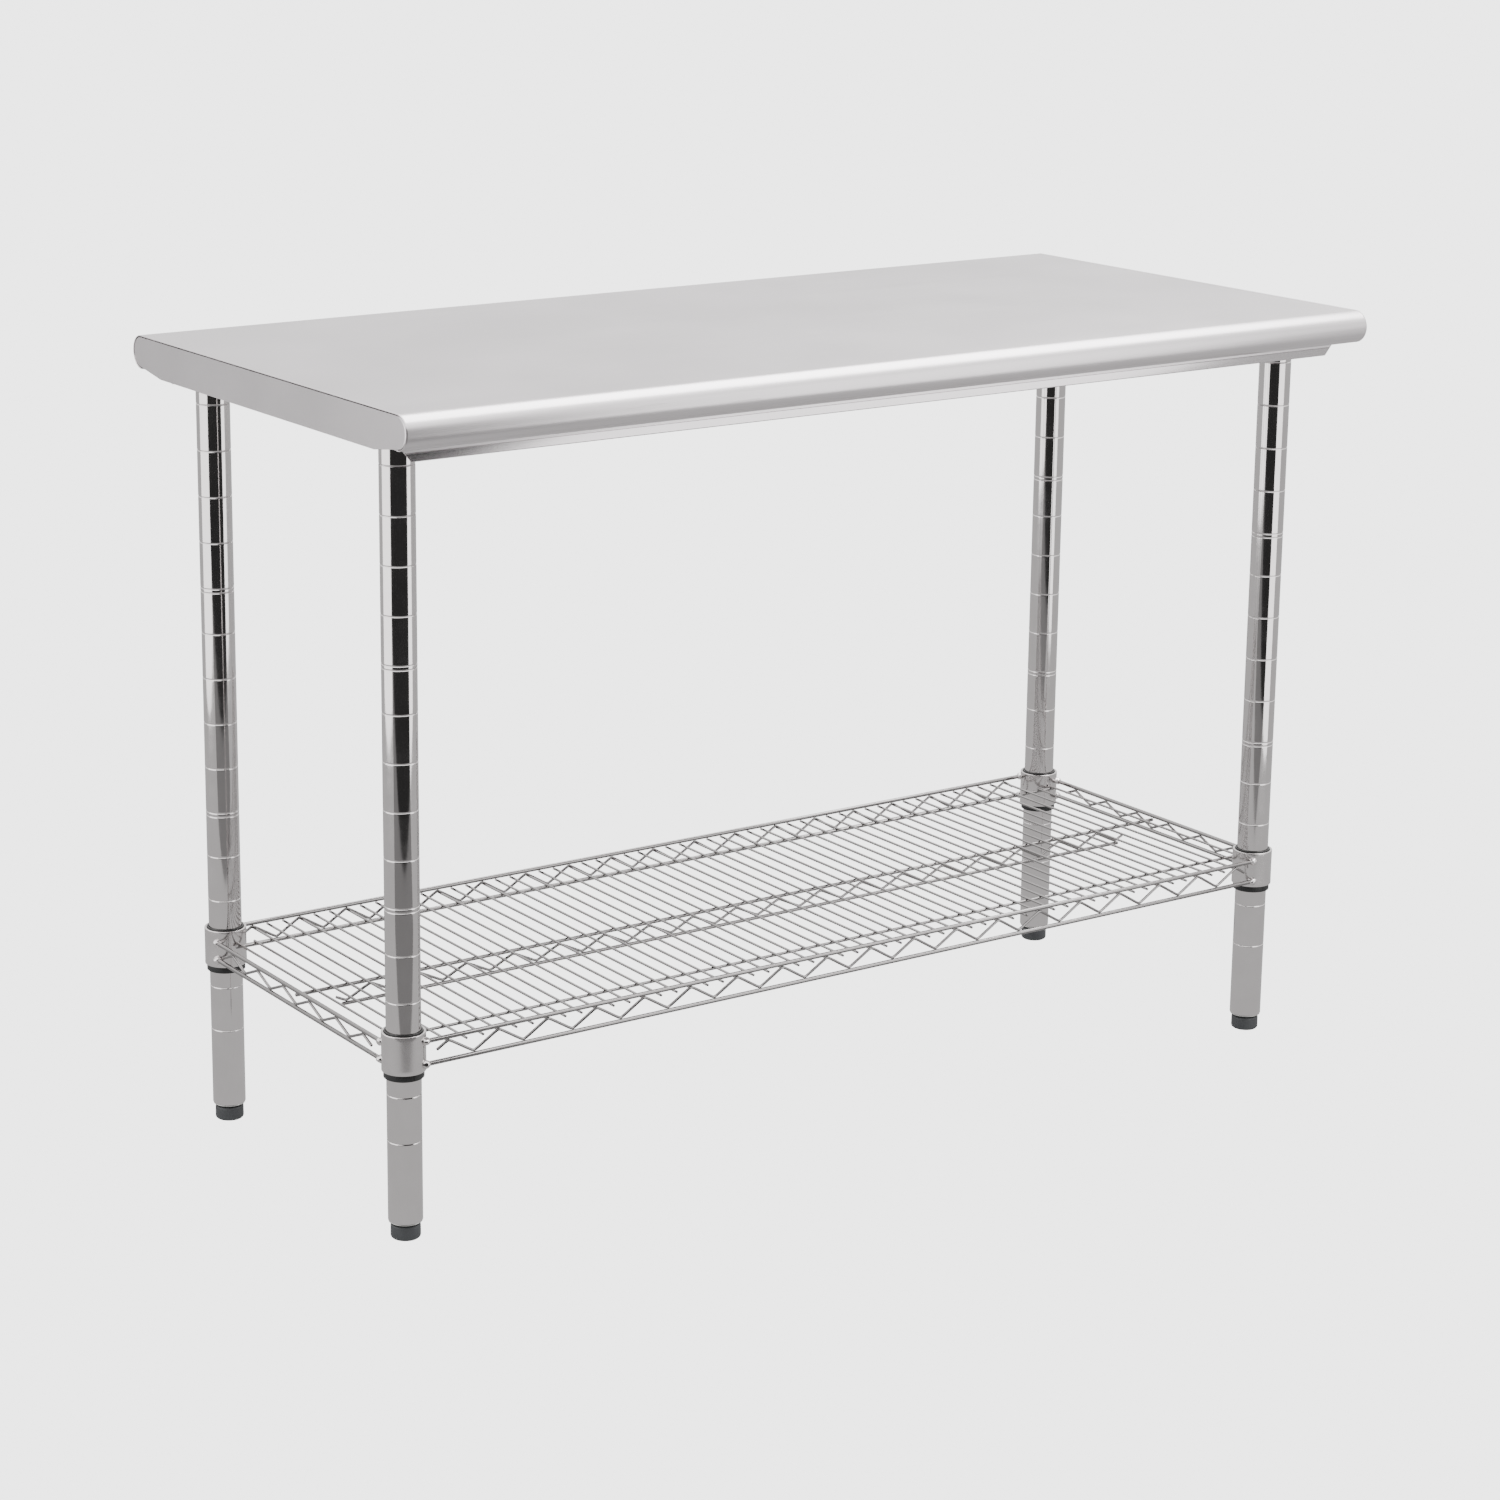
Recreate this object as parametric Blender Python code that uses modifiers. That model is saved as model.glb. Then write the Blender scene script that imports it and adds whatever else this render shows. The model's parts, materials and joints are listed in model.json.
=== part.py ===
"""Stainless work table: rolled-edge worktop on four grooved posts with a wire undershelf.

Units are metres, +Z is up and the origin lies on the floor under the middle of the table.
The long side runs along X. Each separate physical piece is one object.
"""
import math

import bmesh
import bpy

# Driving dimensions
LENGTH = 1.264
DEPTH = 0.600
HEIGHT = 0.886
SHEET = 0.0012
ROLL_RADIUS = 0.0185
FLANGE_Y = 0.2612
FLANGE_BOTTOM = 0.8325
FLANGE_HALF_TOP = 0.6190
FLANGE_HALF_BOTTOM = 0.6044
PANEL_THICKNESS = 0.0014
PANEL_BOTTOM = 0.8437
PANEL_STRAIGHT = 0.2350
PANEL_RECESS = 0.0004
POST_X = 0.5865
POST_Y = 0.2005
POST_RADIUS = 0.0184
POST_WALL = 0.0012
POST_BOTTOM = 0.0200
POST_TOP = 0.8800
GROOVE_DEPTH = 0.0006
GROOVE_SHELF = 0.2103
GROOVE_TOP = 0.8707
SLEEVE_INNER = 0.0187
SLEEVE_TOP_RADIUS = 0.0203
SLEEVE_RING_RADIUS = 0.0209
SLEEVE_LIP_RADIUS = 0.0214
COLLAR_RADIUS = 0.0234
COLLAR_BOTTOM = 0.1850
COLLAR_TOP = 0.2270
SOCKET_BOTTOM = 0.8515
SOCKET_TOP = 0.8830
FOOT_RADIUS = 0.0160
FOOT_HEIGHT = 0.0160
STEM_RADIUS = 0.0050
STEM_TOP = 0.0550
RAIL_OUT = 0.0180
RAIL_RADIUS = 0.0025
RAIL_STAND_OFF = 0.0178
LONG_TOP_Z = 0.2175
LONG_BOTTOM_Z = 0.1925
SHORT_TOP_Z = 0.2140
SHORT_BOTTOM_Z = 0.1945
ZIGZAG_RADIUS = 0.0016
LONG_PITCH = 0.0604
SHORT_PITCH = 0.0590
WIRE_RADIUS = 0.00145
WIRE_Z = 0.2127
WIRE_COUNT_SIDE = 29
CARRIER_RADIUS = 0.0017
CARRIER_Y = 0.1720
MIDDLE_RADIUS = 0.0021
MIDDLE_TOP_Z = 0.20885
MIDDLE_BOTTOM_Z = 0.1880
GAP = 0.0003
SIDES = 16

CORNERS = {
    "front_left": (-1, -1),
    "front_right": (1, -1),
    "rear_left": (-1, 1),
    "rear_right": (1, 1),
}

for old in list(bpy.data.objects):
    bpy.data.objects.remove(old, do_unlink=True)

table = bpy.data.collections.new("stainless_work_table")
bpy.context.scene.collection.children.link(table)
cutters = bpy.data.collections.new("cutters")
bpy.context.scene.collection.children.link(cutters)


def make_material(name, color, roughness, metallic):
    material = bpy.data.materials.new(name)
    material.use_nodes = True
    shader = material.node_tree.nodes["Principled BSDF"]
    shader.inputs["Base Color"].default_value = (*color, 1.0)
    shader.inputs["Roughness"].default_value = roughness
    shader.inputs["Metallic"].default_value = metallic
    return material


STAINLESS = make_material("stainless_sheet", (0.60, 0.59, 0.59), 0.30, 1.0)
CHROME = make_material("chrome_plate", (0.66, 0.65, 0.65), 0.12, 1.0)
GALVANISED = make_material("galvanised_steel", (0.48, 0.49, 0.50), 0.45, 1.0)
BLACK_PLASTIC = make_material("black_plastic", (0.012, 0.012, 0.012), 0.45, 0.0)
FOOT_PLASTIC = make_material("dark_grey_plastic", (0.035, 0.037, 0.040), 0.50, 0.0)
ZINC = make_material("zinc_plated_steel", (0.62, 0.62, 0.60), 0.25, 1.0)


def add_object(name, mesh, material, parent=None, collection=table):
    """Puts a mesh into the scene as a named piece with its own copy of a material."""
    obj = bpy.data.objects.new(name, mesh)
    collection.objects.link(obj)
    own = material.copy()
    own.name = name + "_material"
    mesh.materials.clear()
    mesh.materials.append(own)
    obj.parent = parent
    return obj


def add_empty(name, location):
    empty = bpy.data.objects.new(name, None)
    empty.location = location
    cutters.objects.link(empty)
    empty.hide_render = True
    return empty


def apply_modifiers(obj):
    """Replaces an object's mesh by its evaluated mesh."""
    graph = bpy.context.evaluated_depsgraph_get()
    mesh = bpy.data.meshes.new_from_object(obj.evaluated_get(graph))
    obj.modifiers.clear()
    old = obj.data
    obj.data = mesh
    bpy.data.meshes.remove(old)
    return obj


def shade(obj, angle=35.0):
    obj.data.shade_smooth()
    obj.data.set_sharp_from_angle(angle=math.radians(angle))
    return obj


def turned(name, profile, material, closed, parent, steps=SIDES):
    """Turns a profile of (radius, height) points about Z.

    A closed profile is a ring; an open one starts and ends on the axis.
    """
    mesh = bpy.data.meshes.new(name)
    points = [(radius, 0.0, height) for radius, height in profile]
    edges = [(i, i + 1) for i in range(len(points) - 1)]
    if closed:
        edges.append((len(points) - 1, 0))
    mesh.from_pydata(points, edges, [])
    obj = add_object(name, mesh, material, parent)
    screw = obj.modifiers.new("turn", "SCREW")
    screw.steps = steps
    screw.render_steps = steps
    screw.use_merge_vertices = True
    screw.merge_threshold = 0.00001
    screw.use_normal_calculate = False
    apply_modifiers(obj)
    return shade(obj)


def box_mesh(name, low, high):
    """A box between two corners, from a primitive cube."""
    mesh = bpy.data.meshes.new(name)
    shape = bmesh.new()
    bmesh.ops.create_cube(shape, size=1.0)
    size = [high[i] - low[i] for i in range(3)]
    center = [(high[i] + low[i]) / 2 for i in range(3)]
    bmesh.ops.scale(shape, vec=size, verts=shape.verts)
    bmesh.ops.translate(shape, vec=center, verts=shape.verts)
    shape.to_mesh(mesh)
    shape.free()
    return mesh


def add_cutter(name, mesh, parent=None):
    cutter = bpy.data.objects.new(name, mesh)
    cutters.objects.link(cutter)
    cutter.parent = parent
    cutter.hide_render = True
    cutter.display_type = "WIRE"
    return cutter


def combine(obj, other, operation):
    """Applies an exact Boolean with another object to a piece."""
    boolean = obj.modifiers.new("combine", "BOOLEAN")
    boolean.operation = operation
    boolean.solver = "EXACT"
    boolean.object = other
    bpy.context.view_layer.update()
    return apply_modifiers(obj)


def face_outwards(shape):
    bmesh.ops.recalc_face_normals(shape, faces=shape.faces)
    if shape.calc_volume(signed=True) < 0:
        bmesh.ops.reverse_faces(shape, faces=shape.faces)


def rod_mesh(name, routes, radius, resolution):
    """Round wires along open straight-sided routes, with filled ends, as one mesh."""
    curve = bpy.data.curves.new(name, "CURVE")
    curve.dimensions = "3D"
    curve.bevel_depth = radius
    curve.bevel_resolution = resolution
    curve.use_fill_caps = True
    for route in routes:
        spline = curve.splines.new("POLY")
        spline.points.add(len(route) - 1)
        for point, place in zip(spline.points, route):
            point.co = (*place, 1.0)
    holder = bpy.data.objects.new(name, curve)
    cutters.objects.link(holder)
    bpy.context.view_layer.update()
    graph = bpy.context.evaluated_depsgraph_get()
    mesh = bpy.data.meshes.new_from_object(holder.evaluated_get(graph))
    bpy.data.objects.remove(holder, do_unlink=True)
    shape = bmesh.new()
    shape.from_mesh(mesh)
    bmesh.ops.remove_doubles(shape, verts=shape.verts, dist=0.00001)
    face_outwards(shape)
    shape.to_mesh(mesh)
    shape.free()
    return mesh


def rod(name, route, radius, material, parent=None, resolution=1):
    mesh = rod_mesh(name, [route], radius, resolution)
    return shade(add_object(name, mesh, material, parent), 50.0)


def extruded(name, outline, half_length, material, parent=None):
    """Extrudes a closed (y, z) outline along X, by a flat curve turned to face X."""
    curve = bpy.data.curves.new(name, "CURVE")
    curve.dimensions = "2D"
    curve.fill_mode = "BOTH"
    curve.extrude = half_length
    spline = curve.splines.new("POLY")
    spline.points.add(len(outline) - 1)
    for point, (y, z) in zip(spline.points, outline):
        point.co = (y, z, 0.0, 1.0)
    spline.use_cyclic_u = True
    holder = bpy.data.objects.new(name, curve)
    cutters.objects.link(holder)
    bpy.context.view_layer.update()
    graph = bpy.context.evaluated_depsgraph_get()
    mesh = bpy.data.meshes.new_from_object(holder.evaluated_get(graph))
    bpy.data.objects.remove(holder, do_unlink=True)
    shape = bmesh.new()
    shape.from_mesh(mesh)
    bmesh.ops.remove_doubles(shape, verts=shape.verts, dist=0.00001)
    for vert in shape.verts:
        y, z, x = vert.co
        vert.co = (x, y, z)
    face_outwards(shape)
    shape.to_mesh(mesh)
    shape.free()
    return add_object(name, mesh, material, parent)


def roll_outline(inset, lip):
    """Half of the worktop section at -Y, from the middle of the top round the roll.

    The inset moves the outline inwards; the lip is how far the underside runs back.
    """
    radius = ROLL_RADIUS - inset
    center_y = -(DEPTH / 2 - ROLL_RADIUS)
    center_z = HEIGHT - ROLL_RADIUS
    points = []
    for i in range(9):
        angle = math.pi / 2 + math.pi * i / 8
        points.append((center_y + radius * math.cos(angle), center_z + radius * math.sin(angle)))
    points.append((-lip, center_z - radius))
    return points


# Worktop sheet: one folded section with a rolled edge and a turned-in lip on each long side
outer = roll_outline(0.0, FLANGE_Y)
inner = roll_outline(SHEET, FLANGE_Y)
outer_loop = outer + [(y, z) for y, z in inner[::-1]]
mirrored = [(-y, z) for y, z in outer_loop[::-1]]
sheet = extruded("worktop_sheet", outer_loop + mirrored, LENGTH / 2, STAINLESS)

# The lip turns down into a hemmed return flange with chamfered ends
roll_bottom = HEIGHT - 2 * ROLL_RADIUS
for sign in (-1, 1):
    mesh = box_mesh(
        "return_flange",
        (-FLANGE_HALF_TOP, sign * FLANGE_Y - SHEET, FLANGE_BOTTOM),
        (FLANGE_HALF_TOP, sign * FLANGE_Y + SHEET, roll_bottom + SHEET * 0.6),
    )
    for vert in mesh.vertices:
        if vert.co.z < FLANGE_BOTTOM + 0.001:
            vert.co.x = math.copysign(FLANGE_HALF_BOTTOM, vert.co.x)
    flange = add_cutter("flange_tool", mesh)
    combine(sheet, flange, "UNION")
    bpy.data.objects.remove(flange, do_unlink=True)

# The lip stops short of the ends, so that the end panels can reach down past it
panel_back = LENGTH / 2 - PANEL_RECESS - PANEL_THICKNESS - GAP
lip_start = DEPTH / 2 - ROLL_RADIUS + 0.0007
for side in (-1, 1):
    for sign in (-1, 1):
        near, far = sorted((side * panel_back, side * (LENGTH / 2 + 0.001)))
        low, high = sorted((sign * 0.2550, sign * lip_start))
        notch_mesh = box_mesh("notch", (near, low, roll_bottom - 0.001), (far, high, roll_bottom + SHEET + 0.001))
        notch = add_cutter("notch_tool", notch_mesh)
        combine(sheet, notch, "DIFFERENCE")
        bpy.data.objects.remove(notch, do_unlink=True)
shade(sheet)

# End panels close the two short ends, just inside the sheet's edge
half_panel = roll_outline(SHEET + GAP, 0.05)[:-1] + [(-PANEL_STRAIGHT, PANEL_BOTTOM)]
panel_outline = half_panel + [(-y, z) for y, z in half_panel[::-1]]
for side, sign in (("left", -1), ("right", 1)):
    panel = extruded("end_panel_" + side, panel_outline, PANEL_THICKNESS / 2, STAINLESS)
    panel.location.x = sign * (LENGTH / 2 - PANEL_THICKNESS / 2 - PANEL_RECESS)

# Channels under the sheet stiffen it and carry the sockets
web_top = HEIGHT - SHEET - GAP


def channel_outline(half_width, drop, wall, top):
    return [
        (-half_width, top - drop),
        (-half_width, top),
        (half_width, top),
        (half_width, top - drop),
        (half_width - wall, top - drop),
        (half_width - wall, top - wall),
        (-half_width + wall, top - wall),
        (-half_width + wall, top - drop),
    ]


extruded("center_channel", channel_outline(0.045, 0.020, 0.0012, web_top), 0.5435, GALVANISED)
for side, sign in (("left", -1), ("right", 1)):
    cross = extruded(
        "cross_channel_" + side, channel_outline(0.040, 0.020, 0.0012, web_top), 0.255, GALVANISED
    )
    cross.rotation_euler.z = math.pi / 2
    cross.location.x = sign * POST_X


def groove(height):
    """Points of one locking groove on the post's outer side, top to bottom."""
    deep = POST_RADIUS - GROOVE_DEPTH
    return [
        (POST_RADIUS, height + 0.0015),
        (deep, height + 0.0008),
        (deep, height - 0.0008),
        (POST_RADIUS, height - 0.0015),
    ]


def bead(height):
    """Points of the sleeve's inner bead that sits in a groove, bottom to top."""
    tip = POST_RADIUS - GROOVE_DEPTH + GAP
    return [
        (SLEEVE_INNER, height - 0.0011),
        (tip, height - 0.0005),
        (tip, height + 0.0005),
        (SLEEVE_INNER, height + 0.0011),
    ]


def post_profile():
    inside = POST_RADIUS - POST_WALL
    outside = [(POST_RADIUS, POST_TOP), *groove(GROOVE_TOP), *groove(GROOVE_SHELF)]
    return [*outside, (POST_RADIUS, POST_BOTTOM), (inside, POST_BOTTOM), (inside, POST_TOP)]


def sleeve_profile(bottom, shoulder, top, groove_height):
    return [
        (SLEEVE_TOP_RADIUS, top),
        (SLEEVE_RING_RADIUS, shoulder - GAP),
        (SLEEVE_LIP_RADIUS, shoulder - GAP),
        (SLEEVE_LIP_RADIUS, bottom),
        (SLEEVE_INNER, bottom),
        *bead(groove_height),
        (SLEEVE_INNER, top),
    ]


def ring_profile(bottom, top):
    """A tapered ring that drops over a sleeve, with a wider bore at its foot."""
    return [
        (COLLAR_RADIUS, top),
        (COLLAR_RADIUS, bottom),
        (SLEEVE_RING_RADIUS + 0.0004, bottom),
        (SLEEVE_TOP_RADIUS + 0.0004, top),
    ]


def insert_profile():
    bore = STEM_RADIUS + GAP
    plug = POST_RADIUS - POST_WALL - GAP
    return [
        (plug, 0.0450),
        (plug, POST_BOTTOM - GAP),
        (0.0178, POST_BOTTOM - GAP),
        (0.0178, POST_BOTTOM - 0.0014),
        (bore, POST_BOTTOM - 0.0014),
        (bore, 0.0450),
    ]


def foot_profile():
    return [
        (0.0, 0.0057),
        (STEM_RADIUS + 0.0008, 0.0057),
        (STEM_RADIUS + 0.0008, FOOT_HEIGHT),
        (FOOT_RADIUS - 0.0012, FOOT_HEIGHT),
        (FOOT_RADIUS, FOOT_HEIGHT - 0.0015),
        (FOOT_RADIUS, 0.0035),
        (FOOT_RADIUS - 0.0009, 0.0010),
        (FOOT_RADIUS - 0.0025, 0.0),
        (0.0, 0.0),
    ]


def stem_profile():
    return [
        (0.0, STEM_TOP),
        (STEM_RADIUS - 0.0007, STEM_TOP),
        (STEM_RADIUS, STEM_TOP - 0.0008),
        (STEM_RADIUS, 0.0060),
        (0.0, 0.0060),
    ]


for corner, (sx, sy) in CORNERS.items():
    axis = add_empty("axis_" + corner, (sx * POST_X, sy * POST_Y, 0.0))
    turned("post_" + corner, post_profile(), CHROME, True, axis)
    turned("post_insert_" + corner, insert_profile(), ZINC, True, axis)
    turned("foot_base_" + corner, foot_profile(), FOOT_PLASTIC, False, axis)
    turned("shelf_collar_" + corner, ring_profile(COLLAR_BOTTOM, COLLAR_TOP), CHROME, True, axis)
    turned("top_socket_" + corner, ring_profile(SOCKET_BOTTOM, SOCKET_TOP), CHROME, True, axis)

    stem = turned("foot_stem_" + corner, stem_profile(), ZINC, False, axis, 12)
    hexagon = bpy.data.meshes.new("hexagon")
    shape = bmesh.new()
    bmesh.ops.create_cone(
        shape, cap_ends=True, segments=6, radius1=0.0092, radius2=0.0092, depth=0.0019
    )
    bmesh.ops.translate(shape, vec=(0.0, 0.0, FOOT_HEIGHT + GAP + 0.00095), verts=shape.verts)
    shape.to_mesh(hexagon)
    shape.free()
    nut = add_cutter("hexagon_tool", hexagon, axis)
    combine(stem, nut, "UNION")
    bpy.data.objects.remove(nut, do_unlink=True)

    # Each undershelf sleeve is a pair of halves that clip together round the post
    for half, low, high in (("inner", GAP / 2, 0.03), ("outer", -0.03, -GAP / 2)):
        sleeve = turned(
            "shelf_sleeve_" + half + "_" + corner,
            sleeve_profile(0.1778, COLLAR_BOTTOM, 0.2285, GROOVE_SHELF),
            BLACK_PLASTIC, True, axis,
        )
        block = box_mesh("half_block", (low, -0.03, 0.15), (high, 0.03, 0.25))
        for vert in block.vertices:
            vert.co.x *= -sx
        if sx > 0:
            block.flip_normals()
        keep = add_cutter("half_tool", block, axis)
        combine(sleeve, keep, "INTERSECT")
        bpy.data.objects.remove(keep, do_unlink=True)
        shade(sleeve)

    # The worktop's sleeve is a single split ring
    sleeve = turned(
        "top_sleeve_" + corner,
        sleeve_profile(0.8500, SOCKET_BOTTOM, 0.8795, GROOVE_TOP),
        BLACK_PLASTIC, True, axis,
    )
    slot = add_cutter("slot_tool", box_mesh("slot", (-0.0015, 0.0, 0.84), (0.0015, 0.03, 0.89)), axis)
    combine(sleeve, slot, "DIFFERENCE")
    bpy.data.objects.remove(slot, do_unlink=True)
    shade(sleeve)


def zigzag(half_count, pitch, low, high, starts_high, end_run):
    """Route (along, height) of a zigzag wire, symmetric about its middle.

    Its bends fall every half pitch; the last leg of each end stops part way down or up.
    """
    route = []
    for i in range(-half_count, half_count + 1):
        high_here = (i % 2 == 0) == starts_high
        route.append((i * pitch / 2, high if high_here else low))
    end_high = (half_count % 2 == 0) == starts_high
    target = low if end_high else high
    last = half_count * pitch / 2
    end_z = route[-1][1] + (target - route[-1][1]) * end_run
    run = pitch / 2 * end_run
    return [(-last - run, end_z), *route, (last + run, end_z)]


# Undershelf: long trusses front and rear
rail_y = POST_Y + RAIL_OUT
rail_half = POST_X - RAIL_STAND_OFF
bend = RAIL_RADIUS + ZIGZAG_RADIUS + GAP
long_zigzag = zigzag(18, LONG_PITCH, LONG_BOTTOM_Z + bend, LONG_TOP_Z - bend, True, 0.45)
for side, sign in (("front", -1), ("rear", 1)):
    y = sign * rail_y
    for level, z in (("top", LONG_TOP_Z), ("bottom", LONG_BOTTOM_Z)):
        ends = [(-rail_half, y, z), (rail_half, y, z)]
        rod("shelf_" + side + "_" + level + "_rail", ends, RAIL_RADIUS, CHROME)
    route = [(x, y, z) for x, z in long_zigzag]
    rod("shelf_" + side + "_zigzag", route, ZIGZAG_RADIUS, CHROME, resolution=0)

# Undershelf: short trusses left and right
rail_x = POST_X + RAIL_OUT
rail_half = POST_Y - RAIL_STAND_OFF
short_zigzag = zigzag(5, SHORT_PITCH, SHORT_BOTTOM_Z + bend, SHORT_TOP_Z - bend, False, 0.6)
for side, sign in (("left", -1), ("right", 1)):
    x = sign * rail_x
    for level, z in (("top", SHORT_TOP_Z), ("bottom", SHORT_BOTTOM_Z)):
        ends = [(x, -rail_half, z), (x, rail_half, z)]
        rod("shelf_" + side + "_" + level + "_rail", ends, RAIL_RADIUS, CHROME)
    route = [(x, y, z) for y, z in short_zigzag]
    rod("shelf_" + side + "_zigzag", route, ZIGZAG_RADIUS, CHROME, resolution=0)

# Undershelf: middle truss under the surface wires
middle_bend = MIDDLE_RADIUS + ZIGZAG_RADIUS + GAP
middle_zigzag = zigzag(
    18, LONG_PITCH, MIDDLE_BOTTOM_Z + middle_bend, MIDDLE_TOP_Z - middle_bend, False, 0.4
)
ends = [(-rail_x, 0.0, MIDDLE_TOP_Z), (rail_x, 0.0, MIDDLE_TOP_Z)]
rod("shelf_middle_top_wire", ends, MIDDLE_RADIUS, CHROME)
ends = [(-0.548, 0.0, MIDDLE_BOTTOM_Z), (0.548, 0.0, MIDDLE_BOTTOM_Z)]
rod("shelf_middle_bottom_wire", ends, MIDDLE_RADIUS, CHROME)
route = [(x, 0.0, z) for x, z in middle_zigzag]
rod("shelf_middle_zigzag", route, ZIGZAG_RADIUS, CHROME, resolution=0)

# Undershelf: surface wires across the depth, joined by two long carrier wires
routes = []
spacing = LONG_PITCH / 3
for i in range(-WIRE_COUNT_SIDE, WIRE_COUNT_SIDE + 1):
    if abs(i) > 27:
        reach = CARRIER_Y + 0.003
    elif i % 3 == 0:
        reach = rail_y - ZIGZAG_RADIUS - 0.0006
    else:
        reach = rail_y + 0.0030
    routes.append([(i * spacing, -reach, WIRE_Z), (i * spacing, reach, WIRE_Z)])
mat = add_object("shelf_surface_wires", rod_mesh("surface_wires", routes, WIRE_RADIUS, 0), CHROME)
carrier_half = WIRE_COUNT_SIDE * spacing + 0.004
carrier_z = WIRE_Z - WIRE_RADIUS - CARRIER_RADIUS + 0.0003
routes = [
    [(-carrier_half, y, carrier_z), (carrier_half, y, carrier_z)] for y in (-CARRIER_Y, CARRIER_Y)
]
carriers = add_cutter("carrier_tool", rod_mesh("carriers", routes, CARRIER_RADIUS, 0))
combine(mat, carriers, "UNION")
bpy.data.objects.remove(carriers, do_unlink=True)
shade(mat, 50.0)

bpy.context.view_layer.update()
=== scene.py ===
import json
import math

import bpy
import numpy as np
from mathutils import Matrix, Vector


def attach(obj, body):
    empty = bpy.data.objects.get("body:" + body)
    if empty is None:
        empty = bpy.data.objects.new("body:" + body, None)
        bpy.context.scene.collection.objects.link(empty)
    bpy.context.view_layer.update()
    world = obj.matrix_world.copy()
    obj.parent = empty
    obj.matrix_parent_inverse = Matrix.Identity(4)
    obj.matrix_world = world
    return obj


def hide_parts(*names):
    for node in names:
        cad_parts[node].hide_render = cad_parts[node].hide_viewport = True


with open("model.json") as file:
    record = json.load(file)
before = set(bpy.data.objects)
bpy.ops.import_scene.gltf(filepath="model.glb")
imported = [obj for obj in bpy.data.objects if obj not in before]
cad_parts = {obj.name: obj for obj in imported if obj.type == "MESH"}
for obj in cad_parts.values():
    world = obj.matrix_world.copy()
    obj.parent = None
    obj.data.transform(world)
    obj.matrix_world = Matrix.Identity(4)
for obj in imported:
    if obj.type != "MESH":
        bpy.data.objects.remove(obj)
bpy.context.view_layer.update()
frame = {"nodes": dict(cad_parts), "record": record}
nodeOf = frame["nodes"]
bodyOfNode = {n: b for b, ns in frame["record"]["behaviour"]["bodies"].items() for n in ns}
cornerSigns = {"front_left": (-1, -1), "front_right": (1, -1), "rear_left": (-1, 1), "rear_right": (1, 1)}
print("frame loaded")


# a wrapped socket does arithmetic as Math nodes
class Wire:
    def __init__(self, graph, socket):
        self.graph = graph
        self.socket = socket

    def math(self, kind, other, swap=False):
        a, b = (other, self) if swap else (self, other)
        return self.graph.node("ShaderNodeMath", {"operation": kind}, {0: a, 1: b})

    def __add__(self, other):
        return self.math("ADD", other)

    def __radd__(self, other):
        return self.math("ADD", other, True)

    def __sub__(self, other):
        return self.math("SUBTRACT", other)

    def __rsub__(self, other):
        return self.math("SUBTRACT", other, True)

    def __mul__(self, other):
        return self.math("MULTIPLY", other)

    def __rmul__(self, other):
        return self.math("MULTIPLY", other, True)

    def __truediv__(self, other):
        return self.math("DIVIDE", other)

    def above(self, level):
        return self.math("GREATER_THAN", level)

    def smallest(self, other):
        return self.math("MINIMUM", other)

    def largest(self, other):
        return self.math("MAXIMUM", other)


class Graph:
    def __init__(self, owner):
        self.tree = owner.node_tree
        self.tree.nodes.clear()

    def node(self, kind, settings=None, inputs=None, output=0):
        made = self.tree.nodes.new(kind)
        for key, value in (settings or {}).items():
            setattr(made, key, value)
        for key, value in (inputs or {}).items():
            if isinstance(value, Wire):
                self.tree.links.new(value.socket, made.inputs[key])
            else:
                made.inputs[key].default_value = value
        return Wire(self, made.outputs[output])

    def place(self):
        return self.node("ShaderNodeTexCoord", output="Object")

    def stretched(self, scale, turn=(0.0, 0.0, 0.0)):
        return self.node("ShaderNodeMapping", None, {"Vector": self.place(), "Scale": scale, "Rotation": turn})

    def noise(self, vector, scale, detail=3.0, rough=0.5):
        return self.node("ShaderNodeTexNoise", None,
                         {"Vector": vector, "Scale": scale, "Detail": detail, "Roughness": rough})

    def blendColors(self, factor, first, second):
        return self.node("ShaderNodeMix", {"data_type": "RGBA"}, {0: factor, 6: first, 7: second}, 2)

    def bump(self, height, strength, distance):
        return self.node("ShaderNodeBump", None, {"Height": height, "Strength": strength, "Distance": distance})

    def finish(self, **sockets):
        inputs = {key.replace("_", " "): value for key, value in sockets.items()}
        shader = self.node("ShaderNodeBsdfPrincipled", None, inputs)
        out = self.tree.nodes.new("ShaderNodeOutputMaterial")
        self.tree.links.new(shader.socket, out.inputs["Surface"])


def newMaterial(name):
    material = bpy.data.materials.new(name)
    material.use_nodes = True
    return material, Graph(material)


sheetLook = {
    "light": (0.800, 0.762, 0.772, 1.0), "dark": (0.680, 0.645, 0.655, 1.0),
    "roughness": 0.32, "grain": 0.10, "mottle": 0.10, "scratch": 0.05, "bump": 0.12, "bumpDepth": 0.00012,
    "hemTop": 0.8424, "hemFade": 0.0004, "hemSmoother": 0.55,
}


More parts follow.
